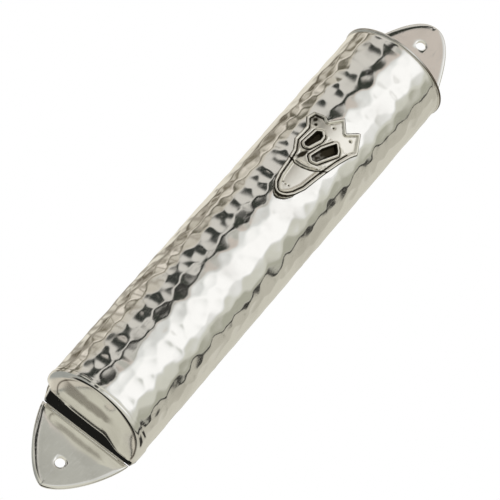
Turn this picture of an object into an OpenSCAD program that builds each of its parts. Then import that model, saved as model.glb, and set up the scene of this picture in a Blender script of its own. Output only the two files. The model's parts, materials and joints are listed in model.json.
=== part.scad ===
// Mezuzah case: a half-round hammered cover with a slide-out back and end cap.
// Frame: +Z up the case, the front faces -Y, the wall is the plane y = 0,
// and the origin is midway between the two screw holes.

/* [Cover] */
// Outer radius of the rounded front
case_r = 13.5; // [12:0.5:20]
// Distance from the wall to the centre of the rounded front
axis_depth = 5.7; // [4.5:0.1:7]
// Thickness of the hammered sheet
wall = 0.9; // [0.6:0.1:1.2]
// Length of the hammered cover
cover_len = 111.6; // [108:0.2:125]

/* [Top plate] */
// Thickness of the plate that closes the top
top_t = 0.7; // [0.5:0.1:2]
// How far the top plate's rim stands out from the cover
top_rim = 0.3; // [0:0.1:1.5]

/* [End cap] */
// Height of the cap at its front, below the cover
cap_front_h = 0.9; // [0.9:0.1:4]
// Slope of the cap's face, down towards the wall
cap_slant = 6.5; // [2:0.5:12]
// Radius of the cove between the cap's face and the bottom ear
cove_r = 1.6; // [1:0.1:2.5]
// Thickness of the cap's face
cap_t = 1.2; // [0.8:0.1:1.6]
// Wall of the cap's sides
cap_wall = 1.25; // [1:0.05:1.6]
// How far the cap stands out from the cover
cap_proud = 0.2; // [0:0.05:0.5]
// Gap between the closed cap and the cover
joint_gap = 0.05; // [0.02:0.01:0.3]
// Thickness of the locating strip
strip_t = 0.8; // [0.5:0.1:1.2]
// How far the locating strip reaches into the cover
strip_reach = 2.8; // [1:0.1:5]
// Clearance between the locating strip and the cover
strip_gap = 0.15; // [0.1:0.01:0.3]

/* [Back plate and guides] */
// Thickness of the sliding back plate
plate_t = 1.1; // [0.8:0.1:1.5]
// Thickness of each lip of a guide
lip_t = 0.7; // [0.5:0.1:1.2]
// Sliding clearance on each face of the back plate
slide_gap = 0.06; // [0.03:0.01:0.1]
// Thinnest metal between the slot and the cover
guide_web = 0.5; // [0.4:0.1:0.8]
// How far the guide's lips lap over the back plate
lip_reach = 1.4; // [1:0.1:2]
// Gap above the back plate when the cap is closed
plate_top_gap = 0.3; // [0.2:0.1:2]

/* [Ears] */
// Thickness of the ears
ear_t = 0.9; // [0.8:0.1:1.5]
// Distance from each end of the cover to its screw hole
hole_reach = 13.2; // [10:0.1:20]
// Diameter of a screw hole
hole_d = 2.4; // [2:0.1:3.5]
// Metal beyond the top hole's centre
top_tip = 6.5; // [5:0.1:8]
// Metal beyond the bottom hole's centre
bottom_tip = 6.9; // [5:0.1:8]
// Length of the thin neck behind the back plate
neck_len = 4; // [3:0.5:6]
// Side clearance of the neck between the guides
neck_gap = 0.2; // [0.1:0.05:0.5]

/* [Emblem] */
// Height of the emblem
emblem_h = 25.3; // [18:0.1:30]
// How far the emblem stands out from the cover
relief = 1.3; // [0.8:0.1:2]
// Depth of the panel sunk into the emblem
panel_depth = 0.6; // [0.2:0.1:0.7]
// Height of the emblem's foot above the middle of the case
emblem_z = 6.4; // [0:0.1:15]
// Turn of the emblem round the front, to the right
emblem_turn = 4; // [-10:1:10]

/* [Scroll] */
// Room above the roll, under the top plate
roll_headroom = 12; // [2:1:40]
// Outer radius of the roll
scroll_r = 5.2; // [4:0.1:5.6]
// Radius of the roll's open core
core_r = 1.6; // [1:0.1:1.9]
// Thickness of the parchment
sheet_t = 0.3; // [0.2:0.05:0.4]
// Number of turns in the roll
turns = 4.6; // [3:0.1:5]
// Length of the paper band
band_len = 30; // [15:1:50]
// Thickness of the paper band
band_t = 0.25; // [0.15:0.05:0.4]
// Clearance between the roll, its band and the back plate
roll_gap = 0.1; // [0.05:0.01:0.2]

/* [Hidden] */
$fn = 96;

// Heights
cover_top = cover_len / 2;
cover_bottom = -cover_len / 2;
cap_top = cover_bottom - joint_gap;
// Radii inside the cover and the cap
cover_in_r = case_r - wall;
strip_r = cover_in_r - strip_gap;
cap_r = case_r + cap_proud;
cap_in_r = cap_r - cap_wall;
// The cap's sides meet the strip, whichever is the smaller radius
strip_out_r = min(strip_r, cap_in_r);
// Back plate
plate_back = lip_t + slide_gap;
plate_front = plate_back + plate_t;
slot_half = half_width(cover_in_r, lip_t) - guide_web;
plate_half = slot_half - slide_gap;
guide_in = slot_half - lip_reach;
guide_depth = plate_front + slide_gap + lip_t;
// Slanted face: its height at the back plate, its floor inside, and the ear's shoulders under its cove
chord_z = cap_top - cap_front_h - (axis_depth + case_r - plate_front) * tan(cap_slant);
floor_rise = cap_t / cos(cap_slant);
shoulder_z = chord_z - cove_r;
// Ears: the shoulders are as wide as the case at the wall
hole_z = cover_top + hole_reach;
ear_half = half_width(case_r, 0);
neck_half = guide_in - neck_gap;
// Roll: it stands on the cap's floor and lies against the back plate
band_r = scroll_r + roll_gap + band_t;
roll_y = -(plate_front + roll_gap + band_r);
roll_z = face_z(roll_y - scroll_r) + floor_rise + roll_gap;
scroll_len = cover_top - roll_headroom - roll_z;
band_z = roll_z + (scroll_len - band_len) / 2;
big = 100;

// Half the width of the rounded section of radius r, at a depth from the wall
function half_width(r, depth) = sqrt(r * r - pow(axis_depth - depth, 2));
// Height of the slanted face at a place in front of the wall
function face_z(y) = chord_z + (-plate_front - y) * tan(cap_slant);

// Full circle of the rounded front
module round_section(r) {
    translate([0, -axis_depth]) circle(r);
}

// The round section cut off flat at a depth from the wall
module d_section(r, depth = 0) {
    intersection() {
        round_section(r);
        translate([-big / 2, -big - depth]) square(big);
    }
}

// Everything in front of the back plate and below the slanted face raised by rise
module below_face(rise) {
    intersection() {
        translate([0, -plate_front, chord_z + rise])
            rotate([-cap_slant, 0, 0]) translate([-big / 2, -big / 2, -big]) cube(big);
        translate([-big / 2, -plate_front - big, chord_z - big]) cube([big, big, 2 * big]);
    }
}

module cover() {
    color("silver")
        translate([0, 0, cover_bottom]) linear_extrude(cover_len) difference() {
            d_section(case_r);
            round_section(cover_in_r);
        }
}

// Channel along the right back edge of the cover, with a slot for the back plate
module guide() {
    linear_extrude(cover_len) difference() {
        intersection() {
            round_section(cover_in_r);
            translate([guide_in, -guide_depth]) square([case_r, guide_depth]);
        }
        translate([0, -guide_depth + lip_t]) square([slot_half, plate_t + 2 * slide_gap]);
    }
}

module right_guide() {
    color("gainsboro") translate([0, 0, cover_bottom]) guide();
}

module left_guide() {
    color("gainsboro") translate([0, 0, cover_bottom]) mirror([1, 0, 0]) guide();
}

module top_plate() {
    color("lightgray")
        translate([0, 0, cover_top]) linear_extrude(top_t) d_section(case_r + top_rim, ear_t);
}

// Outline of an ear standing on its shoulders: the sides swell by the two powers
module ear_outline(len, swell, taper, steps = 28) {
    right = [for (i = [0 : steps])
        let (s = 1 - pow(1 - i / steps, 2))
            [ear_half * pow(1 - pow(s, swell), taper), len * s]];
    left = [for (i = [steps - 1 : -1 : 0]) [-right[i][0], right[i][1]]];
    polygon(concat(right, left));
}

// Ear with its shoulders at height zero, and a neck below them against the wall
module ear(len, swell, taper, hole_up, neck, neck_t) {
    difference() {
        union() {
            rotate([90, 0, 0]) linear_extrude(ear_t) ear_outline(len, swell, taper);
            translate([-neck_half, -neck_t, -neck]) cube([2 * neck_half, neck_t, neck + ear_t]);
        }
        translate([0, 1, hole_up]) rotate([90, 0, 0]) cylinder(d = hole_d, h = ear_t + 2);
    }
}

module top_ear() {
    color("lightgray") translate([0, 0, cover_top])
        ear(hole_reach + top_tip, 1, 0.47, hole_reach, neck_len, lip_t);
}

module bottom_ear() {
    hole_up = hole_z + shoulder_z;
    color("lightgray") translate([0, 0, shoulder_z]) mirror([0, 0, 1])
        ear(hole_up + bottom_tip, 1.3, 0.65, hole_up, cap_top - shoulder_z, plate_back);
}

module back_plate() {
    color("gainsboro")
        translate([-plate_half, -plate_front, shoulder_z])
            cube([2 * plate_half, plate_t, cover_top - plate_top_gap - shoulder_z]);
}

// Foot of the cap along the back plate, with the cove in its front
module cap_foot() {
    difference() {
        translate([0, 0, shoulder_z]) linear_extrude(cap_top - shoulder_z) intersection() {
            d_section(cap_r);
            translate([-big / 2, -plate_front - cove_r]) square([big, big]);
        }
        translate([-big / 2, -plate_front - cove_r, shoulder_z]) rotate([0, 90, 0])
            cylinder(r = cove_r, h = big);
    }
}

module end_cap() {
    color("whitesmoke") difference() {
        union() {
            difference() {
                translate([0, 0, chord_z]) linear_extrude(cap_top - chord_z) d_section(cap_r, plate_front);
                below_face(0);
            }
            cap_foot();
        }
        // hollow above the floor
        difference() {
            translate([0, 0, shoulder_z - 1]) linear_extrude(big) round_section(cap_in_r);
            below_face(floor_rise);
        }
    }
}

// Bent strip inside the cap's front, standing up into the cover
module locating_strip() {
    color("gainsboro") difference() {
        translate([0, 0, chord_z]) linear_extrude(cap_top + strip_reach - chord_z) difference() {
            d_section(strip_out_r, guide_depth + neck_gap);
            round_section(strip_out_r - strip_t);
        }
        below_face(floor_rise);
    }
}

// Raised letter of three branches, drawn 25.3 high with its foot at the origin: a deep bowl,
// and branches that lean to the right round two slots
module letter_outline() {
    difference() {
        polygon([[0, 0], [1.7, 0.8], [3, 2.4], [3.9, 5.1], [4.9, 11.4], [5.8, 15.8], [7.4, 20.8],
                 [5.1, 25.1], [2.7, 22.6], [0.4, 25.3], [-1.9, 22.2], [-2.9, 22.9], [-5.7, 22.5],
                 [-6.4, 20.4], [-5, 18], [-5.2, 14], [-3.8, 11.3], [-3, 4.4], [-2.4, 2.1], [-1.3, 0.6]]);
        polygon([[0.3, 12.5], [1, 11.9], [1.7, 12.2], [3.9, 17.1], [3.6, 17.7], [2.6, 18.7], [1.1, 15.6]]);
        polygon([[-2.7, 14.3], [-2.2, 13.9], [-1.7, 14.1], [-0.7, 17.1], [-0.8, 18.1], [-1.5, 18.8],
                 [-2.3, 18.3]]);
    }
}

module letter_panel() {
    polygon([[-0.9, 2.2], [1.3, 2.2], [2.4, 4.4], [3.2, 10.6], [0.6, 8.8], [-2.2, 9.4], [-1.7, 4.2]]);
}

// A figure carried straight back onto the round front, between two radii
module on_front(inner_r, outer_r) {
    translate([0, -axis_depth, 0]) rotate([0, 0, emblem_turn]) intersection() {
        translate([0, 0, emblem_z]) rotate([90, 0, 0]) linear_extrude(big)
            scale(emblem_h / 25.3) children();
        difference() {
            cylinder(r = outer_r, h = big);
            translate([0, 0, -1]) cylinder(r = inner_r, h = big + 2);
        }
    }
}

module emblem() {
    color("silver") difference() {
        on_front(case_r, case_r + relief) letter_outline();
        on_front(case_r + relief - panel_depth, case_r + relief + 1) letter_panel();
    }
}

// Spiral of parchment seen from its end
module scroll_outline(steps = 120) {
    grow = (scroll_r - sheet_t - core_r) / steps;
    outer = [for (i = [0 : steps]) (core_r + sheet_t + grow * i) * heading(i, steps)];
    inner = [for (i = [steps : -1 : 0]) (core_r + grow * i) * heading(i, steps)];
    polygon(concat(outer, inner));
}

function heading(i, steps) = [cos(360 * turns * i / steps), sin(360 * turns * i / steps)];

module scroll() {
    color("wheat")
        translate([0, roll_y, roll_z]) linear_extrude(scroll_len) scroll_outline();
}

module scroll_band() {
    color("ivory")
        translate([0, roll_y, band_z]) linear_extrude(band_len) difference() {
            circle(band_r);
            circle(band_r - band_t);
        }
}

cover();
left_guide();
right_guide();
top_plate();
top_ear();
emblem();
back_plate();
end_cap();
locating_strip();
bottom_ear();
scroll();
scroll_band();
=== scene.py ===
"""Looks of a hammered silver mezuzah case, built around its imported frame. Metres, +Z up the case."""

import json
import math
import random

import bmesh
import bpy
from mathutils import Matrix, Vector, noise
from mathutils.kdtree import KDTree


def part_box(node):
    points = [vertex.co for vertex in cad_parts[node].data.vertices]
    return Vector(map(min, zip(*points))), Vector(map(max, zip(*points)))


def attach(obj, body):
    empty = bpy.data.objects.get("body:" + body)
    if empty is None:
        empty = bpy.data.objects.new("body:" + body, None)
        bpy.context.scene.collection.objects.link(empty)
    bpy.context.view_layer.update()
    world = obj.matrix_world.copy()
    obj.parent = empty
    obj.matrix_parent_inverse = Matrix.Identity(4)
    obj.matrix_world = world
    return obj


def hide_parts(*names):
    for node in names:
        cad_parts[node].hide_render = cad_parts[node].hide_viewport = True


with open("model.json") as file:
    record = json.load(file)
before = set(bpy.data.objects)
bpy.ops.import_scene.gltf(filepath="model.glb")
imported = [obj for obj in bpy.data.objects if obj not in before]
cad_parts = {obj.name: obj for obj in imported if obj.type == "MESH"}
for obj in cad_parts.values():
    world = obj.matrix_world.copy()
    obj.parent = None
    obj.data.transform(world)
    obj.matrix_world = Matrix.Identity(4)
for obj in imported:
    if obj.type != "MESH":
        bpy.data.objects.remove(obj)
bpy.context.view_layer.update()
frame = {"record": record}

MM = 0.001

# ---------------------------------------------------------------- places, from the frame
cover_low, cover_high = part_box("cover")
cap_low, cap_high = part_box("end_cap")
plate_low, plate_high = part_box("back_plate")
top_low, top_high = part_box("top_plate")
ear_low, ear_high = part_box("top_ear")
foot_low, foot_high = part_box("bottom_ear")
roll_low, roll_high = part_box("scroll")
band_low, band_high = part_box("scroll_band")
letter_low, letter_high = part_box("emblem")

CASE_R = (cover_high.x - cover_low.x) / 2
AXIS_Y = cover_low.y + CASE_R
CAP_R = (cap_high.x - cap_low.x) / 2
RIM_R = (top_high.x - top_low.x) / 2
EAR_FRONT = ear_low.y
PLATE_FRONT = plate_low.y
SHOULDER_Z = plate_low.z
EAR_HALF = (ear_high.x - ear_low.x) / 2
mounts = {mount["name"]: mount for mount in frame["record"]["mounts"]}
HOLE_Z = mounts["screw_holes"]["dims"]["spacing_y_mm"] / 2 * MM
HOLE_R = mounts["screw_holes"]["dims"]["hole_r_mm"] * MM

# ---------------------------------------------------------------- sizes of the finish
SHEET = 0.9 * MM
CAP_SLOPE = math.tan(math.radians(6.5))
CAP_FLOOR = 1.2 * MM
COVE_R = 1.6 * MM
CAP_INNER = 0.909
CHORD_Z = SHOULDER_Z + COVE_R
NECK_DEPTH = 0.7 * MM


# ================================================================ shader maths
class Value:
    """A number that varies over a surface. Arithmetic on it adds Math nodes."""

    def __init__(self, finish, socket):
        self.finish = finish
        self.socket = socket

    def _join(self, operation, first, second):
        return self.finish.add("Math", {"operation": operation}, {0: first, 1: second})

    def __add__(self, other):
        return self._join("ADD", self, other)

    def __sub__(self, other):
        return self._join("SUBTRACT", self, other)

    def __rsub__(self, other):
        return self._join("SUBTRACT", other, self)

    def __mul__(self, other):
        return self._join("MULTIPLY", self, other)

    __radd__ = __add__
    __rmul__ = __mul__

    def between(self, low, high):
        """Nothing below low, all of it above high, smooth between."""
        return self.finish.add("MapRange", {"interpolation_type": "SMOOTHSTEP"},
                               {"Value": self, "From Min": low, "From Max": high})


class Finish:
    """A node tree that a finish, or the studio round the case, is built in."""

    def __init__(self, owner):
        owner.use_nodes = True
        self.owner = owner
        self.tree = owner.node_tree
        self.tree.nodes.clear()

    def add(self, kind, settings=None, inputs=None, output=0):
        """Any node: its type, the settings made first, the values or links of its sockets."""
        made = self.tree.nodes.new("ShaderNode" + kind)
        for key, value in (settings or {}).items():
            setattr(made, key, value)
        for key, value in (inputs or {}).items():
            if isinstance(value, Value):
                self.tree.links.new(value.socket, made.inputs[key])
            else:
                made.inputs[key].default_value = value
        return Value(self, made.outputs[output]) if made.outputs else made

    def place(self, stretch=(1, 1, 1), turn=(0, 0, 0)):
        """Where a point lies on its piece, turned and stretched for a pattern."""
        spot = self.add("TexCoord", output=3)
        return self.add("Mapping", None, {"Vector": spot, "Rotation": turn, "Scale": stretch})

    def noise(self, spot, size, detail=2.0, rough=0.5, twist=0.0):
        """Soft noise whose patches are about size across."""
        return self.add("TexNoise", None, {"Vector": spot, "Scale": 1 / size, "Detail": detail,
                                           "Roughness": rough, "Distortion": twist})

    def mix(self, first, second, share):
        return self.add("Mix", {"data_type": "RGBA"}, {0: share, 6: first, 7: second}, output=2)

    def bump(self, height, depth, below=None):
        """Relief of the given depth, on top of any relief below it."""
        inputs = {"Height": height, "Distance": depth, "Strength": 1.0}
        if below is not None:
            inputs["Normal"] = below
        return self.add("Bump", None, inputs)

    def surface(self, **inputs):
        """The Principled surface; its sockets are given with _ for a space."""
        named = {key.replace("_", " "): value for key, value in inputs.items()}
        shader = self.add("BsdfPrincipled", None, named)
        self.add("OutputMaterial", None, {"Surface": shader})
        return self.owner


def colour(red, green, blue):
    return (red, green, blue, 1.0)


# ================================================================ finishes
def scratches(finish, turn, thin):
    """Fine straight lines in one direction, broken up along their length."""
    spot = finish.place(stretch=(1, 1, 0.03), turn=turn)
    return finish.noise(spot, thin, detail=1.0).between(0.66, 0.76)


def silver(name, tone, dark, rough, scratch_depth, wave_depth, grain_depth):
    """Worn silver: a tone that drifts, fine scratches, and darker where two attributes ask: patina and
    painted shadow from the first, a dull haze and painted shade from the second.
    """
    finish = Finish(bpy.data.materials.new(name))
    spot = finish.place()
    cloud = finish.noise(spot, 9 * MM, detail=3.0, twist=0.4)
    fine = finish.noise(spot, 0.5 * MM, detail=3.0, rough=0.6)
    patina_and_shade = finish.add("Attribute", {"attribute_name": "patina_and_shade"}, output=2)
    patchy = finish.noise(spot, 0.9 * MM, detail=4.0)
    broken = (patina_and_shade * 1.5 - patchy).between(0.0, 0.9)
    haze_and_shade = finish.add("Attribute", {"attribute_name": "haze_and_shade"}, output=2)
    # The tone darkens with wear, with patina, and with the painted shadow and shade that the two attributes
    # carry.
    wear_and_painted_shade = cloud.between(0.45, 0.75) * 0.14 + broken + haze_and_shade
    lines = scratches(finish, (0.3, 0.2, 0), 0.12 * MM) + scratches(finish, (1.2, 0.1, 0.8), 0.1 * MM)
    relief = finish.bump(finish.noise(spot, 14 * MM, detail=1.0), wave_depth)
    relief = finish.bump(fine, grain_depth, relief)
    relief = finish.bump(lines, scratch_depth, relief)
    return finish.surface(
        Base_Color=finish.mix(colour(*tone), colour(*dark), wear_and_painted_shade),
        Metallic=1.0,
        Roughness=rough + cloud * 0.05 + fine * 0.03 + lines * 0.06 + (broken + haze_and_shade) * 0.3,
        Normal=relief,
    )


def brushed_silver():
    """Satin silver sheet, brushed along the case, for the parts that slide."""
    finish = Finish(bpy.data.materials.new("plain_silver"))
    strokes = finish.noise(finish.place(stretch=(1, 1, 0.012)), 0.16 * MM, detail=3.0, rough=0.65)
    cloud = finish.noise(finish.place(), 12 * MM, detail=3.0)
    rubbed = finish.noise(finish.place(stretch=(1, 1, 0.05)), 1.6 * MM).between(0.6, 0.75)
    return finish.surface(
        Base_Color=finish.mix(colour(0.74, 0.72, 0.68), colour(0.50, 0.48, 0.43),
                              cloud.between(0.35, 0.8) * 0.5 + strokes * 0.2),
        Metallic=1.0,
        Roughness=0.26 + strokes * 0.16 + cloud * 0.08 - rubbed * 0.1,
        Normal=finish.bump(strokes, 0.004 * MM),
    )


def parchment():
    """Warm skin with paler veins, fine pores and a faint mottle."""
    finish = Finish(bpy.data.materials.new("parchment"))
    spot = finish.place()
    mottle = finish.noise(spot, 7 * MM, detail=5.0, rough=0.6, twist=0.6)
    pores = finish.noise(spot, 0.35 * MM, detail=3.0)
    veins = finish.noise(finish.place(stretch=(1, 1, 0.35), turn=(0, 0.4, 0)), 3 * MM,
                         detail=4.0, twist=1.5).between(0.56, 0.66)
    skin = finish.mix(colour(0.73, 0.56, 0.32), colour(0.84, 0.71, 0.48), mottle.between(0.3, 0.7))
    skin = finish.mix(skin, colour(0.90, 0.81, 0.62), veins * 0.5)
    return finish.surface(
        Base_Color=finish.mix(skin, colour(0.55, 0.38, 0.19), pores.between(0.62, 0.8) * 0.5),
        Roughness=0.62 + pores * 0.2 - veins * 0.1,
        Normal=finish.bump(pores, 0.02 * MM, finish.bump(mottle, 0.10 * MM)),
    )


def band_paper():
    """White laid paper with crossing fibres."""
    finish = Finish(bpy.data.materials.new("band_paper"))
    along = finish.noise(finish.place(stretch=(1, 1, 0.15)), 0.3 * MM, detail=3.0)
    across = finish.noise(finish.place(stretch=(0.2, 0.2, 1)), 0.25 * MM, detail=3.0)
    cloud = finish.noise(finish.place(), 5 * MM, detail=4.0)
    fibres = along * 0.5 + across * 0.5
    return finish.surface(
        Base_Color=finish.mix(colour(0.90, 0.88, 0.82), colour(0.80, 0.76, 0.67),
                              cloud.between(0.4, 0.8) * 0.5 + fibres.between(0.55, 0.7) * 0.3),
        Roughness=0.78 + fibres * 0.12,
        Normal=finish.bump(fibres, 0.03 * MM),
    )


# ================================================================ making pieces
def shade(bm, crease):
    """Smooth faces, with an edge kept sharp where its faces meet at more than crease degrees."""
    limit = math.radians(crease)
    for face in bm.faces:
        face.smooth = True
    for edge in bm.edges:
        edge.smooth = len(edge.link_faces) == 2 and edge.calc_face_angle(0) < limit


def piece(name, bm, body, finish, nodes=(), crease=40):
    """Turns a bmesh into a finished piece that rides a body and stands for its CAD nodes."""
    shade(bm, crease)
    mesh = bpy.data.meshes.new(name)
    bm.to_mesh(mesh)
    bm.free()
    mesh.materials.append(finish)
    made = bpy.data.objects.new(name, mesh)
    bpy.context.scene.collection.objects.link(made)
    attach(made, body)
    if nodes:
        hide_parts(*nodes)
    return made


def close(bm, gap=1e-7):
    """Merges doubles and turns the faces outwards."""
    bmesh.ops.remove_doubles(bm, verts=bm.verts, dist=gap)
    bmesh.ops.dissolve_degenerate(bm, dist=gap, edges=bm.edges)
    bmesh.ops.recalc_face_normals(bm, faces=bm.faces)
    return bm


def loft(steps, rings):
    """A skin through rings. Each ring is a function from a number on the loop to a place."""
    bm = bmesh.new()
    corners = bmesh.ops.create_circle(bm, radius=1, segments=steps)["verts"]
    number = {corner: index for index, corner in enumerate(corners)}
    edges = list(bm.edges)
    for turn, ring in enumerate(rings):
        if turn:
            grown = bmesh.ops.extrude_edge_only(bm, edges=edges)["geom"]
            fresh = {part for part in grown if isinstance(part, bmesh.types.BMVert)}
            edges = [part for part in grown
                     if isinstance(part, bmesh.types.BMEdge) and set(part.verts) <= fresh]
            number = {corner: number[edge.other_vert(corner)] for corner in fresh
                      for edge in corner.link_edges if edge.other_vert(corner) in number}
        for corner, index in number.items():
            corner.co = ring(index)
    return close(bm)


def half_round(radius, front, arc_steps, chord_steps):
    """Loop of a D: places round its arc from right to left by the front, then back along its chord."""
    depth = front - AXIS_Y
    start = math.asin(depth / radius)
    loop = []
    for step in range(arc_steps):
        angle = start - (math.pi + 2 * start) * step / arc_steps
        loop.append(Vector((radius * math.cos(angle), AXIS_Y + radius * math.sin(angle))))
    width = radius * math.cos(start)
    loop += [Vector((-width + 2 * width * step / chord_steps, front)) for step in range(chord_steps)]
    return loop


def shrunk(loop, centre, share):
    return [centre + (corner - centre) * share for corner in loop]


def quarter(share):
    """How far a quarter round has fallen, from none at its inner end to all at its edge."""
    return 1 - math.sqrt(max(0.0, 1 - share * share))


# ================================================================ the emblem's drawing
LETTER_DRAWN = 25.3
LETTER_SCALE = (letter_high.z - letter_low.z) / LETTER_DRAWN
LETTER_TURN = math.radians(4)
RELIEF = AXIS_Y - letter_low.y - CASE_R
# Outline, slots and small pits of the letter, in mm above its foot
LETTER_OUTLINE = [(0.2, 0.0), (1.1, 0.35), (1.9, 0.95), (2.9, 2.4), (3.9, 5.1), (4.4, 8.4), (4.9, 11.4),
                  (5.8, 15.8), (6.6, 18.8), (7.4, 20.8), (7.0, 21.7), (5.1, 25.1), (4.6, 24.9),
                  (2.7, 22.6), (0.4, 25.3), (-1.9, 22.2), (-2.9, 22.9), (-5.7, 22.5), (-6.4, 20.4),
                  (-5.0, 18.0), (-5.2, 14.0), (-3.8, 11.3), (-3.35, 8.4), (-3.0, 4.4), (-2.4, 2.1),
                  (-1.4, 0.65), (-0.6, 0.1)]
SLOTS = [[(0.3, 12.5), (1.0, 11.9), (1.7, 12.2), (3.9, 17.1), (3.6, 17.7), (2.6, 18.7), (1.1, 15.6)],
         [(-2.7, 14.3), (-2.2, 13.9), (-1.7, 14.1), (-0.7, 17.1), (-0.8, 18.1), (-1.5, 18.8), (-2.3, 18.3)]]
PITS = [(-4.4, 20.9), (-3.6, 19.8), (-0.1, 21.6), (4.5, 21.9), (-0.9, 3.4), (-0.2, 3.2), (0.6, 3.4)]
# The curved bar across the letter: height and slope in its middle, and its sag
BAR_RISE, BAR_SLOPE, BAR_SAG = 9.5, 0.22, 0.09


def mirrored(points):
    return [(-x, y) for x, y in reversed(points)]


def inside_by(outline, x, y):
    """How far a point lies inside a closed outline, less than nothing outside it."""
    nearest, inside = 1e9, False
    for (x0, y0), (x1, y1) in zip(outline, outline[1:] + outline[:1]):
        dx, dy = x1 - x0, y1 - y0
        share = max(0.0, min(1.0, ((x - x0) * dx + (y - y0) * dy) / (dx * dx + dy * dy)))
        nearest = min(nearest, math.hypot(x - x0 - share * dx, y - y0 - share * dy))
        if (y0 > y) != (y1 > y) and x < x0 + (y - y0) * dx / dy:
            inside = not inside
    return nearest if inside else -nearest


def letter_edge(x, y):
    """How far a point lies inside the letter's metal, and inside a slot."""
    slot = max(inside_by(outline, x, y) for outline in SLOTS)
    return min(inside_by(LETTER_OUTLINE, x, y), -slot), slot


def hump(distance, half_width):
    """A round bead across a distance, one high at its middle."""
    return max(0.0, 1 - (distance / half_width) ** 2)


def letter_height(x, y):
    """Height of the letter, as a share of its relief, and how dark it is there: patina in its slots,
    grooves, pits and blots, and painted shadow along its edge, partly patina too.
    """
    edge, slot = letter_edge(x, y)
    if slot > 0:
        return 0.10 + 0.66 * (1 - min(1.0, slot / 0.16)), (0.8 if x > 0 else 0.95) + 0.9 * hump(y - 18, 3)
    height = 0.68 + 0.32 * hump(edge - 0.36, 0.40) + 0.12 * hump(edge - 1.25, 0.3) * (y < 19)
    groove = hump(edge - 0.84, 0.2) * (0.5 if y > 19 else 1.0)
    cross = y - BAR_RISE - BAR_SLOPE * x - BAR_SAG * x * x
    if cross < 0 and edge > 1.0:
        height += 0.18 * hump(edge - 1.2, 0.3) - 0.16 * min(1.0, max(0.0, edge - 1.4) / 0.3)
    if edge > 0.6:
        height += 0.22 * hump(cross - 0.1, 0.38) + 0.10 * hump(cross - 1.0, 0.3)
    pit = max(math.exp(-((x - px) ** 2 + (y - py) ** 2) / (0.09 if py > 10 else 0.04)) for px, py in PITS)
    height = min(height, 1.0) - 0.16 * groove - (0.3 if y > 10 else 0.15) * pit
    stem = 0.9 * hump(x + 1.3 - 0.3 * (y - 12.5), 0.7) * hump(y - 12.0, 2.4)
    # Painted shadow: a dark line along the letter's edge, partly the patina that lies there.
    lip = 1.3 * hump(edge, 0.28)
    blot = 0.7 * hump(x + 4.4, 1.8) * hump(y - 21, 2.4) + 0.35 * hump(x + 1.6, 1.8) * hump(y - 11.2, 2)
    return height, 1.3 * groove + 1.1 * pit + 0.9 * hump(cross + 0.55, 0.4) + stem + lip + blot


def on_front(x, y, radius):
    """A point of the letter's drawing, in mm, carried back onto the round front."""
    angle = math.asin(x * LETTER_SCALE / CASE_R) + LETTER_TURN
    return Vector((radius * math.sin(angle), AXIS_Y - radius * math.cos(angle),
                   letter_low.z + y * LETTER_SCALE))


# ================================================================ pieces of the case
# Distance between hammer blows, and the mesh of the sheet they fell on
BLOW = 3.3 * MM
HOOP_STEPS = 140
ROW = 0.4 * MM


def hammer_blows(length, height):
    """Where the hammer fell, on the unrolled sheet, with each blow's depth and the two radii it left."""
    chance = random.Random(11)
    rows, columns = round(height / (BLOW * 0.9)), round(length / BLOW)
    blows = []
    for row in range(-1, rows + 2):
        for column in range(-1, columns + 2):
            along = (column + 0.5 * (row % 2) + chance.uniform(-0.46, 0.46)) * BLOW
            up = (row + chance.uniform(-0.46, 0.46)) * BLOW * 0.9
            blows.append((along - length / 2, up - height / 2, chance.uniform(0.09, 0.20) * MM,
                          chance.uniform(8, 16) * MM, chance.uniform(10, 26) * MM))
    return blows


def hammered_depth(near, blows, along, up):
    """Depth of the sheet's skin below the round, where the deepest blows meet in soft ridges."""
    soft = 0.022 * MM
    total = 0.0
    for _, index, _ in near.find_n((along, up, 0), 8):
        at, height, depth, round_along, round_up = blows[index]
        left = depth - (along - at) ** 2 / (2 * round_along) - (up - height) ** 2 / (2 * round_up)
        total += math.exp(left / soft)
    return soft * math.log(total + 1)


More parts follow.
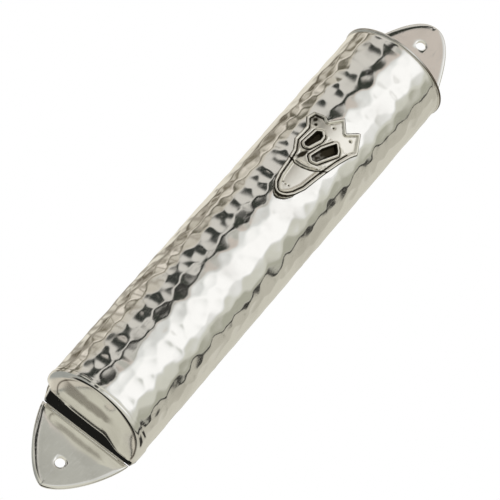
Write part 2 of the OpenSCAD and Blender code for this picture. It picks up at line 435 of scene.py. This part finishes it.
def hammered_cover():
    """The rounded front: a bent sheet, hammered all over, plain at its two rims."""
    height = cover_high.z - cover_low.z
    reach = math.asin(-AXIS_Y / (CASE_R - SHEET)) + math.radians(0.5)
    spread = math.pi + 2 * reach
    length = spread * CASE_R
    blows = hammer_blows(length, height)
    near = KDTree(len(blows))
    for index, blow in enumerate(blows):
        near.insert((blow[0], blow[1], 0), index)
    near.balance()

    bm = bmesh.new()
    axis = Vector((0, AXIS_Y, 0))
    first = bm.verts.new(axis + Matrix.Rotation(reach, 3, "Z") @ Vector((CASE_R, 0, 0)))
    first.co.z = cover_low.z
    bmesh.ops.spin(bm, geom=[first], cent=axis, axis=(0, 0, -1), angle=spread, steps=HOOP_STEPS)
    rows = round(height / ROW)
    bmesh.ops.spin(bm, geom=bm.verts[:] + bm.edges[:], cent=axis, axis=(0, 0, 1), angle=0,
                   dvec=(0, 0, height / rows), steps=rows)
    bmesh.ops.recalc_face_normals(bm, faces=bm.faces)

    patina_and_shade = bm.verts.layers.float.new("patina_and_shade")
    middle = (cover_low.z + cover_high.z) / 2
    for corner in bm.verts:
        angle = math.atan2(corner.co.x, AXIS_Y - corner.co.y)
        rim = (height / 2 - abs(corner.co.z - middle)) / MM
        depth = hammered_depth(near, blows, angle * CASE_R, corner.co.z - middle)
        depth += 0.006 * MM * (1 + noise.noise(corner.co / (1.7 * MM)))
        depth *= min(1.0, max(0.0, (rim - 0.3) / 1.6))
        depth += 0.14 * MM * quarter(max(0.0, 1 - rim / 0.35))
        away = Vector((math.sin(angle), -math.cos(angle), 0))
        corner.co = Vector((0, AXIS_Y, corner.co.z)) + away * (CASE_R - depth)
        x = CASE_R * math.sin(max(-1.4, min(1.4, angle - LETTER_TURN))) / LETTER_SCALE / MM
        y = (corner.co.z - letter_low.z) / LETTER_SCALE / MM
        # Painted shadow round the foot of the emblem, reaching 0.9 mm out on its right and 0.6 mm on its
        # left, partly the solder and patina there.
        if abs(x) < 10 and -2 < y < 28:
            edge = -inside_by(LETTER_OUTLINE, x, y)
            corner[patina_and_shade] = 1.1 * max(0.0, 1 - max(0.0, edge) / (0.9 if x > 0 else 0.6))
    if sum(face.normal.dot(face.calc_center_median() - axis) > 0 for face in bm.faces) < len(bm.faces) / 2:
        bmesh.ops.reverse_faces(bm, faces=bm.faces)
    bmesh.ops.solidify(bm, geom=bm.faces[:], thickness=SHEET)
    cut = bmesh.ops.bisect_plane(bm, geom=bm.verts[:] + bm.edges[:] + bm.faces[:], plane_co=(0, 0, 0),
                                 plane_no=(0, 1, 0), clear_outer=True)["geom_cut"]
    bmesh.ops.holes_fill(bm, edges=[part for part in cut if isinstance(part, bmesh.types.BMEdge)])
    close(bm)
    return piece("hammered_cover", bm, "case", HAMMERED, ["cover"], crease=50)


def rimmed_top():
    """The plate that closes the top, with its proud rim rounded over."""
    loop = half_round(RIM_R, EAR_FRONT, 96, 32)
    centre = Vector((0, AXIS_Y))
    low, high, edge = top_low.z, top_high.z, 0.26 * MM
    rings = [(0.0, low), (0.5, low), (0.9, low)]
    rings += [(1 - edge / RIM_R * (1 - math.sin(a)), low + edge * (1 - math.cos(a))) for a in
              (math.radians(step * 22.5) for step in range(5))]
    rings += [(share, low + high - z) for share, z in reversed(rings)]

    def ring(share, z):
        spots = shrunk(loop, centre, share)
        return lambda index: (spots[index].x, spots[index].y, z)

    bm = loft(len(loop), [ring(share, z) for share, z in rings])
    haze_and_shade = bm.verts.layers.float.new("haze_and_shade")
    # Painted shade along the rim's side, darker towards the right, with a dull haze there that also
    # roughens it.
    for corner in bm.verts:
        if abs(corner.co.z - (low + high) / 2) < (high - low) / 2 - 0.02 * MM:
            corner[haze_and_shade] = 0.25 + 0.65 * max(0.0, min(1.0, corner.co.x / RIM_R * 2.5 - 0.6))
    return piece("rimmed_top", bm, "case", POLISHED, ["top_plate"])


def ear_edge(length, swell, taper, steps=40):
    """Outline of an ear above its shoulders, from its right shoulder over its tip to the left."""
    right = []
    for step in range(steps + 1):
        rise = 1 - (1 - step / steps) ** 2
        right.append((EAR_HALF * (1 - rise ** swell) ** taper, length * rise))
    return right + mirrored(right[:-1])


def ear(name, body, node, shoulder, up, length, swell, taper, hole_z, neck_end, neck_depth, dish):
    """A flat ear whose edge rolls away, dished under its shoulders, with a screw hole and a thin neck."""
    side = ear_edge(length, swell, taper)
    across = 24
    loop = [Vector(corner) for corner in side]
    loop += [Vector((-EAR_HALF + 2 * EAR_HALF * step / across, 0)) for step in range(1, across)]
    middle = Vector((0, up * (hole_z - shoulder)))
    hole = [middle + (corner - middle).normalized() * HOLE_R for corner in loop]

    def front_y(x, z):
        to_side = min(math.hypot(x - x0, z - z0) for x0, z0 in side)
        to_hole = math.hypot(x - middle.x, z - middle.y) - HOLE_R
        roll = 0.45 * quarter(max(0.0, 1 - to_side / ((1.7 if x < 0 else 0.8) * MM)))
        roll += dish * max(0.0, 1 - z / (4.6 * MM - 20 * x * x))
        roll += 0.2 * quarter(max(0.0, 1 - z / (0.4 * MM)))
        roll += 0.12 * quarter(max(0.0, 1 - to_hole / (0.35 * MM)))
        wave = 0.012 * math.sin(x / (1.5 * MM) + 1) * math.cos(z / (1.9 * MM))
        return EAR_FRONT + (min(roll, 0.6) + wave) * MM

    def place(corner, y):
        return (corner.x, y, shoulder + up * corner.y)

    def front(share):
        spots = [rim.lerp(inner, share) for rim, inner in zip(loop, hole)]
        return lambda index: place(spots[index], front_y(*spots[index]))

    def back(share, y):
        return lambda index: place(loop[index].lerp(hole[index], share), y)

    rings = [front(share) for share in (1, 0.97, 0.93, 0.8, 0.6, 0.42, 0.3, 0.22, 0.16, 0.11, 0.075, 0.045,
                                        0.02, 0.006, 0)]
    rings += [back(0, -0.08 * MM), back(0.008, 0), back(0.5, 0), back(1, 0), rings[0]]
    bm = loft(len(loop), rings)
    neck_half = plate_high.x - 1.55 * MM
    neck = bmesh.ops.create_cube(bm, size=1, matrix=Matrix.Translation(
        (0, -neck_depth / 2, (neck_end + shoulder) / 2 + up * 0.3 * MM))
        @ Matrix.Diagonal((2 * neck_half, neck_depth, abs(neck_end - shoulder) + 0.6 * MM, 1)))["verts"]
    neck_edges = list({edge for corner in neck for edge in corner.link_edges})
    bmesh.ops.bevel(bm, geom=neck_edges, offset=0.1 * MM, affect="EDGES", segments=2, profile=0.5,
                    material=-1)
    return piece(name, bm, body, POLISHED, [node], crease=50)


def end_cap():
    """The cap that closes the foot: a pillowed face, a rounded rim and a cove above the ear."""
    loop = half_round(CAP_R, PLATE_FRONT, 110, 50)
    middle = Vector((0, AXIS_Y - 1.5 * MM))
    inner_middle = Vector((0, PLATE_FRONT - 1.1 * MM))
    inner = shrunk(loop, inner_middle, CAP_INNER)

    def smooth(value, low, high):
        share = max(0.0, min(1.0, (value - low) / (high - low)))
        return share * share * (3 - 2 * share)

    def face_z(y):
        return CHORD_Z + (PLATE_FRONT - y) * CAP_SLOPE

    def rim(x, y):
        """How far in from the edge a point lies, how far round the side, and the roll's width there."""
        side = min(1.0, abs(math.atan2(x, AXIS_Y - y)) / math.radians(100))
        return CAP_R - math.hypot(x, y - AXIS_Y), side, (0.45 + (4.4 if x < 0 else 1.0) * side ** 1.5) * MM

    def outside_z(x, y):
        """Height of the outside: the slanted pillow, the cove beside the ear, and the rolled rim."""
        out = PLATE_FRONT - y
        edge, side, width = rim(x, y)
        bulge = 0.95 * MM * smooth(x, 3.5 * MM, 9 * MM) * smooth(13 * MM - out, 0, 13 * MM)
        dome = 0.22 * MM * max(0.0, 1 - (x / (12 * MM)) ** 2 - ((out - 8 * MM) / (9 * MM)) ** 2)
        z = face_z(y) - bulge - dome
        cove = SHOULDER_Z + out * (1.0 - 0.3 * smooth(-x, 5 * MM, 9.5 * MM)) + 0.1 * MM
        soft = 0.05 * MM
        low = min(z, cove)
        low -= soft * math.log(math.exp((low - z) / soft) + math.exp((low - cove) / soft))
        away = smooth(out, 0.4 * MM, 4 * MM)
        low += (0.3 + 1.5 * side) * MM * quarter(max(0.0, 1 - edge / width)) * away
        reach, slant = (11.8 * MM, 2.1) if x < 0 else (12.75 * MM, 3.5)
        low += slant * max(0.0, abs(x) - reach) * (1 - away)
        return min(low, cap_high.z - 0.1 * MM)

    def outside(share):
        spots = shrunk(loop, middle, share)
        return lambda index: (*spots[index], outside_z(*spots[index]))

    def inside(share):
        spots = shrunk(inner, middle, share)
        return lambda index: (*spots[index], face_z(spots[index].y) + CAP_FLOOR)

    depths = [0.0, 0.02, 0.06, 0.12] + [0.2 + 0.15 * step for step in range(27)]
    depths += [4.8, 6, 7.5, 9, 10.5, 12]
    rings = [outside(share) for share in [0.0] + [1 - depth * MM / CAP_R for depth in reversed(depths)]]
    rings += [lambda index: (*loop[index], cap_high.z - 0.08 * MM),
              lambda index: (*shrunk(loop, middle, 0.992)[index], cap_high.z),
              lambda index: (*inner[index], cap_high.z)]
    rings += [inside(share) for share in (1.0, 0.96, 0.7, 0.35, 0.0)]
    bm = loft(len(loop), rings)
    haze_and_shade = bm.verts.layers.float.new("haze_and_shade")
    for corner in bm.verts:
        x, out = corner.co.x / MM, (PLATE_FRONT - corner.co.y) / MM
        # The face below is darker and duller in a line along the inner edge of its rolled rim and in a
        # patch on the face.
        if corner.normal.z < 0:
            edge, side, width = rim(corner.co.x, corner.co.y)
            line = 0.85 * hump((edge - width) / MM, 0.26) * smooth(side, 0.2, 0.4) * smooth(out, 1.2, 2.5)
            darker_patch = 0.58 * smooth(1 - abs(x + 2) / 7.5, 0, 0.3) * smooth(
                1 - abs(out - 9.4 + 0.04 * x) / (2.4 - 0.12 * x), 0, 0.4)
            corner[haze_and_shade] = line + darker_patch
    return piece("polished_cap", bm, "drawer", POLISHED, ["end_cap"], crease=45)


def back_plate():
    """The sliding back: a flat strip with eased edges and its lower end under the cap."""
    low, high = plate_low, plate_high
    bm = bmesh.new()
    bmesh.ops.create_cube(bm, size=1, matrix=Matrix.Translation((low + high) / 2)
                          @ Matrix.Diagonal((*(high - low), 1)))
    upright = [edge for edge in bm.edges if abs(edge.verts[0].co.z - edge.verts[1].co.z) > MM]
    bmesh.ops.bevel(bm, geom=upright, offset=0.2 * MM, affect="EDGES", segments=3, profile=0.5,
                    material=-1)
    tops = [edge for edge in bm.edges if all(v.co.z > high.z - 0.01 * MM for v in edge.verts)]
    bmesh.ops.bevel(bm, geom=tops, offset=0.12 * MM, affect="EDGES", segments=2, profile=0.5, material=-1)
    close(bm)
    return piece("sliding_back", bm, "drawer", BRUSHED, ["back_plate"], crease=35)


def cast_emblem():
    """The three-branched letter: beads follow its edges, round two dark slots and a sunk bowl."""
    cell = 0.13
    width, height, below = 16.2, 26.0, 0.3
    bm = bmesh.new()
    bmesh.ops.create_grid(bm, x_segments=round(width / cell), y_segments=round(height / cell), size=0.5)
    patina_and_shade = bm.verts.layers.float.new("patina_and_shade")
    outside = []
    for corner in bm.verts:
        x, y = corner.co.x * width, (corner.co.y + 0.5) * height - below
        edge = inside_by(LETTER_OUTLINE, x, y)
        if edge < -cell * 0.75:
            outside.append(corner)
        corner.co = (x, y, edge)
    bmesh.ops.delete(bm, geom=outside, context="VERTS")
    stray = [corner for corner in bm.verts if len(corner.link_faces) < 1]
    bmesh.ops.delete(bm, geom=stray, context="VERTS")
    for corner in bm.verts:
        x, y, edge = corner.co
        if edge < cell * 0.45:
            step = 0.01
            slope = Vector((inside_by(LETTER_OUTLINE, x + step, y) - edge,
                            inside_by(LETTER_OUTLINE, x, y + step) - edge)) / step
            if slope.length > 0.2:
                x, y = x - slope.x * edge / slope.length_squared, y - slope.y * edge / slope.length_squared
        share, dark = letter_height(x, y)
        corner[patina_and_shade] = dark
        corner.co = on_front(x, y, CASE_R + RELIEF * share)
    bmesh.ops.recalc_face_normals(bm, faces=bm.faces)
    rim = [edge for edge in bm.edges if edge.is_boundary]
    skirt = bmesh.ops.extrude_edge_only(bm, edges=rim)["geom"]
    for corner in (part for part in skirt if isinstance(part, bmesh.types.BMVert)):
        # Painted shade on the emblem's side wall, where it stands off the cover.
        corner[patina_and_shade] = 0.4
        out = Vector((corner.co.x, corner.co.y - AXIS_Y)).normalized() * (CASE_R - 0.3 * MM)
        corner.co.x, corner.co.y = out.x, AXIS_Y + out.y
    bottom = [edge for edge in bm.edges if edge.is_boundary]
    bmesh.ops.holes_fill(bm, edges=bottom)
    close(bm)
    return piece("cast_emblem", bm, "case", CAST, ["emblem"], crease=60)


def rolled_sheet(low, high, inner_r, outer_r, turns, thickness, start, steps, wobble):
    """A sheet rolled on itself: a spiral drawn up the roll and given its thickness."""
    bm = bmesh.new()
    centre = Vector(((low.x + high.x) / 2, (low.y + high.y) / 2, low.z))
    spots = []
    for step in range(steps + 1):
        share = step / steps
        angle = start + turns * 2 * math.pi * share
        radius = inner_r + (outer_r - inner_r) * share
        radius -= wobble * (0.5 + 0.5 * math.sin(3 * angle + 1)) * math.sin(math.pi * share)
        spots.append(bm.verts.new(centre + Vector((math.cos(angle), math.sin(angle), 0)) * radius))
    for pair in zip(spots, spots[1:]):
        bm.edges.new(pair)
    rows = 24
    bmesh.ops.spin(bm, geom=bm.verts[:] + bm.edges[:], cent=centre, axis=(0, 0, 1), angle=0,
                   dvec=(0, 0, (high.z - low.z) / rows), steps=rows)
    bmesh.ops.recalc_face_normals(bm, faces=bm.faces)
    outward = sum(face.normal.dot(face.calc_center_median() - centre) > 0 for face in bm.faces)
    if outward < len(bm.faces) / 2:
        bmesh.ops.reverse_faces(bm, faces=bm.faces)
    bmesh.ops.solidify(bm, geom=bm.faces[:], thickness=thickness)
    bmesh.ops.recalc_face_normals(bm, faces=bm.faces)
    return bm


def scroll():
    outer = (roll_high.x - roll_low.x) / 2
    bm = rolled_sheet(roll_low, roll_high, 1.75 * MM, outer, 4.6, 0.26 * MM,
                      0.0, 330, 0.12 * MM)
    return piece("rolled_parchment", bm, "drawer", PARCHMENT, ["scroll"], crease=40)


def scroll_band():
    outer = (band_high.x - band_low.x) / 2
    bm = rolled_sheet(band_low, band_high, outer - 0.12 * MM, outer, 1.06, 0.1 * MM,
                      math.radians(215), 110, 0.0)
    return piece("paper_band", bm, "drawer", PAPER, ["scroll_band"], crease=40)


# ================================================================ studio
def camera():
    """Seen from below and a little to the right, turned so that the case leans to the right."""
    azimuth, elevation, lean = (math.radians(angle) for angle in (10.65, -22.8, 40.85))
    distance, aim = 0.670, Vector((0.9, 0.2, -0.1)) * MM
    back = Vector((math.sin(azimuth) * math.cos(elevation),
                   -math.cos(azimuth) * math.cos(elevation),
                   math.sin(elevation)))
    lens = bpy.data.cameras.new("camera")
    lens.sensor_width = 36
    lens.lens = 208.5
    lens.clip_start = 0.05
    lens.clip_end = 20
    view = bpy.data.objects.new("camera", lens)
    view.location = aim + back * distance
    turn = back.to_track_quat("Z", "Y").to_matrix()
    view.rotation_euler = (turn @ Matrix.Rotation(lean, 3, "Z")).to_euler()
    bpy.context.scene.collection.objects.link(view)
    bpy.context.scene.camera = view


# Cards and cloths round the case: from and to in bearing (0 in front, 90 on the right) and in height,
# how soft their edges are, all in degrees, and their tone
CARDS = [
    (-180, -72, -90, 90, 8, (0.60, 0.56, 0.48)),
    (-165, -128, -20, 60, 5, (0.80, 0.76, 0.66)),
    (-122, -114, -40, 60, 1.5, (0.12, 0.10, 0.07)),
    (-108, -103, -40, 60, 1.2, (0.14, 0.12, 0.08)),
    (-96, -91, -40, 60, 1.5, (0.86, 0.80, 0.72)),
    (-89, -83, -40, 60, 1.2, (0.11, 0.10, 0.07)),
    (-180, -70, 30, 34, 1.5, (0.11, 0.10, 0.07)),
    (-180, -70, 7, 12, 1.5, (0.12, 0.11, 0.08)),
    (-180, -70, 19, 21, 1, (0.34, 0.31, 0.26)),
    (-67, -36, -30, 22.5, 2, (0.03, 0.034, 0.03)),
    (-64, -38, 9, 12.5, 1, (0.62, 0.58, 0.53)),
    (-64, -38, 0, 2, 1, (0.36, 0.35, 0.32)),
    (-27.5, -18.5, -30, 60, 1, (0.02, 0.02, 0.018)),
    (-32, -15, 25, 39, 2, (0.03, 0.035, 0.028)),
    (-14.5, -7, 0, 22, 1.5, (0.46, 0.46, 0.42)),
    (-14.5, -7, 22, 60, 1.5, (0.60, 0.54, 0.49)),
    (-5, 74, 0, 70, 2.5, (0.74, 0.75, 0.74)),
    (10, 58, 13, 60, 9, (0.95, 0.95, 0.95)),
    (-5, 70, 7, 11, 2, (0.56, 0.57, 0.54)),
    (-5, 70, 33, 36, 2, (0.66, 0.66, 0.64)),
    (62, 78, -90, 60, 7, (0.64, 0.64, 0.57)),
    (78, 94, -90, 60, 5, (0.42, 0.42, 0.35)),
    (99, 130, -90, 60, 2, (0.52, 0.50, 0.43)),
    (94, 100, -90, 60, 0.7, (0.008, 0.008, 0.008)),
    (106, 126, -20, 14, 2, (0.03, 0.028, 0.025)),
    (130, 181, -90, 90, 6, (0.62, 0.60, 0.52)),
    (-60, 60, -44, -2, 4, (0.67, 0.66, 0.58)),
    (-150, -28, -48, -8, 5, (0.36, 0.37, 0.35)),
    (-181, 181, -91, -50, 3, (0.012, 0.012, 0.011)),
]


def studio():
    """Soft light from a wide window box, with darker cards round it, on a white ground."""
    sky = Finish(bpy.data.worlds.new("studio"))
    bpy.context.scene.world = sky.owner
    way = sky.add("TexCoord")
    split = sky.tree.nodes.new("ShaderNodeSeparateXYZ")
    sky.tree.links.new(way.socket, split.inputs[0])
    x, y, z = (Value(sky, output) for output in split.outputs)
    degrees = 180 / math.pi
    compass = sky.add("Math", {"operation": "ARCTAN2"}, {0: x, 1: y * -1}) * degrees
    height = sky.add("Math", {"operation": "ARCSINE"}, {0: z}) * degrees
    light = colour(0.66, 0.64, 0.60)
    for start, end, low, high, soft, tone in CARDS:
        across = compass.between(start - soft, start + soft) * (1 - compass.between(end - soft, end + soft))
        upward = height.between(low - soft, low + soft) * (1 - height.between(high - soft, high + soft))
        light = sky.mix(light, colour(*tone), across * upward)
    seen = sky.add("LightPath")
    ground = sky.add("Background", None, {"Color": sky.mix(light, colour(1, 1, 1), seen)})
    sky.add("OutputWorld", None, {"Surface": ground})

    lamp = bpy.data.lights.new("window_box", "AREA")
    lamp.shape = "RECTANGLE"
    lamp.size, lamp.size_y, lamp.energy = 0.55, 0.45, 0.09
    box = bpy.data.objects.new("window_box", lamp)
    bearing, distance = math.radians(28), 0.65
    aim = Vector((math.sin(bearing) * 0.9, -math.cos(bearing) * 0.9, 0.42))
    box.location = aim * distance
    box.rotation_euler = aim.to_track_quat("Z", "Y").to_euler()
    box.visible_camera = False
    bpy.context.scene.collection.objects.link(box)
    bpy.context.scene.view_settings.view_transform = "Standard"


def floor():
    """A plain pale floor, far enough below for the case to be seen from under it."""
    finish = Finish(bpy.data.materials.new("pale_floor"))
    cloud = finish.noise(finish.place(), 0.4, detail=3.0)
    finish.surface(Base_Color=finish.mix(colour(0.93, 0.925, 0.91), colour(0.90, 0.895, 0.88), cloud),
                   Roughness=0.8, Emission_Color=colour(1, 1, 1), Emission_Strength=0.55)
    bm = bmesh.new()
    radius, depth = 3.4, 1.2
    bmesh.ops.create_circle(bm, cap_ends=True, radius=radius, segments=96,
                            matrix=Matrix.Translation((0, 0, -depth)))
    mesh = bpy.data.meshes.new("floor")
    bm.to_mesh(mesh)
    bm.free()
    mesh.materials.append(finish.owner)
    ground = bpy.data.objects.new("floor", mesh)
    ground.visible_glossy = False
    bpy.context.scene.collection.objects.link(ground)


# ================================================================ the whole
SILVER = (0.90, 0.89, 0.86)
# Dark tone for patina, and for painted shade and shadow.
PATINA_AND_SHADE_TONE = (0.13, 0.10, 0.07)
HAMMERED = silver("hammered_silver", SILVER, PATINA_AND_SHADE_TONE, 0.07, 0.0015 * MM, 0.01 * MM, 0.0015 * MM)
POLISHED = silver("polished_silver", SILVER, PATINA_AND_SHADE_TONE, 0.06, 0.0012 * MM, 0.02 * MM, 0.001 * MM)
CAST = silver("emblem_silver", (0.90, 0.87, 0.80), (0.05, 0.042, 0.028), 0.28, 0.001 * MM, 0.01 * MM,
              0.010 * MM)
BRUSHED = brushed_silver()
PARCHMENT = parchment()
PAPER = band_paper()

camera()
studio()
floor()

hammered_cover()
rimmed_top()
TOP_SHOULDER = cover_high.z
ear("pierced_top_ear", "case", "top_ear", TOP_SHOULDER, 1, ear_high.z - TOP_SHOULDER, 1, 0.47,
    HOLE_Z, ear_low.z, NECK_DEPTH, 0.0)
end_cap()
FOOT_SHOULDER = SHOULDER_Z + 0.4 * MM
ear("pierced_foot_ear", "drawer", "bottom_ear", FOOT_SHOULDER, -1, FOOT_SHOULDER - foot_low.z, 1.3, 0.65,
    -HOLE_Z, foot_high.z, -plate_high.y, 0.24)
back_plate()
cast_emblem()
scroll()
scroll_band()
for name in ("left_guide", "right_guide", "locating_strip"):
    carried = bpy.data.objects[name]
    carried.data.materials.clear()
    carried.data.materials.append(BRUSHED)
